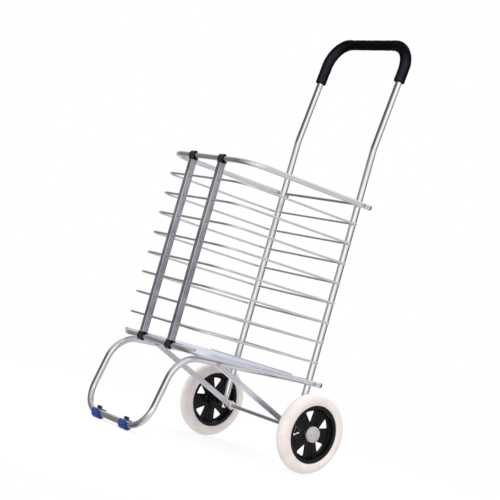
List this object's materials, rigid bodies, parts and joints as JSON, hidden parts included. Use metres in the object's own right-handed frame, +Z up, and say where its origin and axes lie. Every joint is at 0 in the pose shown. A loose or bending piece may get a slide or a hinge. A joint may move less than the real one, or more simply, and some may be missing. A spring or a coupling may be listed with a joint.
{
  "type": "folding shopping trolley",
  "caption": "Two-wheeled folding shopping trolley: bent tube frame with foam grip, wire basket on hinges, sheet floor, braced stand loop and spoked wheels.",
  "frame": {"origin": "centre of the bounding box's footprint, on the floor", "axes": "+Z up, -Y toward the basket's front and the stand, +Y toward the person pushing, X along the axle"},
  "size_m": [0.3936, 0.4832, 0.9881],
  "materials": {
    "aluminium_tube": "bright drawn tube",
    "aluminium_wire": "bright drawn rod",
    "satin_sheet": "satin rolled sheet",
    "steel": "zinc plated",
    "black_foam": "matte closed-cell foam",
    "black_plastic": "moulded",
    "blue_plastic": "moulded",
    "gloss_black": "glossy moulded",
    "pale_tyre": "matte off-white",
    "grey_plastic": "moulded"
  },
  "bodies": {
    "frame": {"handle_frame": "aluminium_tube", "foam_grip": "black_foam", "top_cross_rod": "steel", "bottom_cross_rod": "steel", "stand_loop": "aluminium_tube", "axle": "steel", "foot_left": "blue_plastic", "brace_left": "aluminium_tube", "brace_bolt_left": "steel", "brace_nut_left": "steel", "axle_sleeve_left": "aluminium_tube", "axle_nut_left": "steel", "wheel_spacer_left": "black_plastic", "foot_right": "blue_plastic", "brace_right": "aluminium_tube", "brace_bolt_right": "steel", "brace_nut_right": "steel", "axle_sleeve_right": "aluminium_tube", "axle_nut_right": "steel", "wheel_spacer_right": "black_plastic"},
    "basket_base": {"bottom_ring": "aluminium_tube", "base_plate": "satin_sheet", "plate_rivet_left_1": "steel", "plate_rivet_left_2": "steel", "plate_rivet_right_1": "steel", "plate_rivet_right_2": "steel"},
    "front_bars": {"front_bar_left": "aluminium_tube", "clip_top_left": "black_plastic", "clip_bottom_left": "black_plastic", "front_bar_right": "aluminium_tube", "clip_top_right": "black_plastic", "clip_bottom_right": "black_plastic"},
    "top_rail": {"top_ring": "aluminium_tube"},
    "rung_body_1": {"rung_1": "aluminium_wire"},
    "rung_body_2": {"rung_2": "aluminium_wire"},
    "rung_body_3": {"rung_3": "aluminium_wire"},
    "rung_body_4": {"rung_4": "aluminium_wire"},
    "rung_body_5": {"rung_5": "aluminium_wire"},
    "rung_body_6": {"rung_6": "aluminium_wire"},
    "rung_body_7": {"rung_7": "aluminium_wire"},
    "rung_body_8": {"rung_8": "aluminium_wire"},
    "wheel_left": {"hub_left": "gloss_black", "tyre_left": "pale_tyre", "hub_cap_left": "grey_plastic"},
    "wheel_right": {"hub_right": "gloss_black", "tyre_right": "pale_tyre", "hub_cap_right": "grey_plastic"}
  },
  "joints": [
    {"name": "basket_fold", "type": "hinge", "parent": "frame", "child": "basket_base", "pos_m": [0, 0.1539, 0.192], "axis": [-1, 0, 0], "range_deg": [0, 70]},
    {"name": "bars_fold", "type": "hinge", "parent": "basket_base", "child": "front_bars", "pos_m": [0, -0.1761, 0.192], "axis": [-1, 0, 0], "range_deg": [-70, 0]},
    {"name": "top_rail_fold", "type": "hinge", "parent": "frame", "child": "top_rail", "pos_m": [0, 0.1539, 0.5975], "axis": [-1, 0, 0], "range_deg": [0, 70]},
    {"name": "rung_1_fold", "type": "hinge", "parent": "frame", "child": "rung_body_1", "pos_m": [0, 0.1539, 0.23706], "axis": [-1, 0, 0], "range_deg": [0, 70]},
    {"name": "rung_2_fold", "type": "hinge", "parent": "frame", "child": "rung_body_2", "pos_m": [0, 0.1539, 0.28211], "axis": [-1, 0, 0], "range_deg": [0, 70]},
    {"name": "rung_3_fold", "type": "hinge", "parent": "frame", "child": "rung_body_3", "pos_m": [0, 0.1539, 0.32717], "axis": [-1, 0, 0], "range_deg": [0, 70]},
    {"name": "rung_4_fold", "type": "hinge", "parent": "frame", "child": "rung_body_4", "pos_m": [0, 0.1539, 0.37222], "axis": [-1, 0, 0], "range_deg": [0, 70]},
    {"name": "rung_5_fold", "type": "hinge", "parent": "frame", "child": "rung_body_5", "pos_m": [0, 0.1539, 0.41728], "axis": [-1, 0, 0], "range_deg": [0, 70]},
    {"name": "rung_6_fold", "type": "hinge", "parent": "frame", "child": "rung_body_6", "pos_m": [0, 0.1539, 0.46233], "axis": [-1, 0, 0], "range_deg": [0, 70]},
    {"name": "rung_7_fold", "type": "hinge", "parent": "frame", "child": "rung_body_7", "pos_m": [0, 0.1539, 0.50739], "axis": [-1, 0, 0], "range_deg": [0, 70]},
    {"name": "rung_8_fold", "type": "hinge", "parent": "frame", "child": "rung_body_8", "pos_m": [0, 0.1539, 0.55244], "axis": [-1, 0, 0], "range_deg": [0, 70]},
    {"name": "wheel_left_spin", "type": "hinge", "parent": "frame", "child": "wheel_left", "pos_m": [0, 0.1539, 0.0877], "axis": [1, 0, 0], "continuous": true},
    {"name": "wheel_right_spin", "type": "hinge", "parent": "frame", "child": "wheel_right", "pos_m": [0, 0.1539, 0.0877], "axis": [1, 0, 0], "continuous": true}
  ],
  "couplings": [
    {"joint": "bars_fold", "follows": "basket_fold", "ratio": -1},
    {"joint": "top_rail_fold", "follows": "basket_fold", "ratio": 1},
    {"joint": "rung_1_fold", "follows": "basket_fold", "ratio": 1},
    {"joint": "rung_2_fold", "follows": "basket_fold", "ratio": 1},
    {"joint": "rung_3_fold", "follows": "basket_fold", "ratio": 1},
    {"joint": "rung_4_fold", "follows": "basket_fold", "ratio": 1},
    {"joint": "rung_5_fold", "follows": "basket_fold", "ratio": 1},
    {"joint": "rung_6_fold", "follows": "basket_fold", "ratio": 1},
    {"joint": "rung_7_fold", "follows": "basket_fold", "ratio": 1},
    {"joint": "rung_8_fold", "follows": "basket_fold", "ratio": 1}
  ]
}
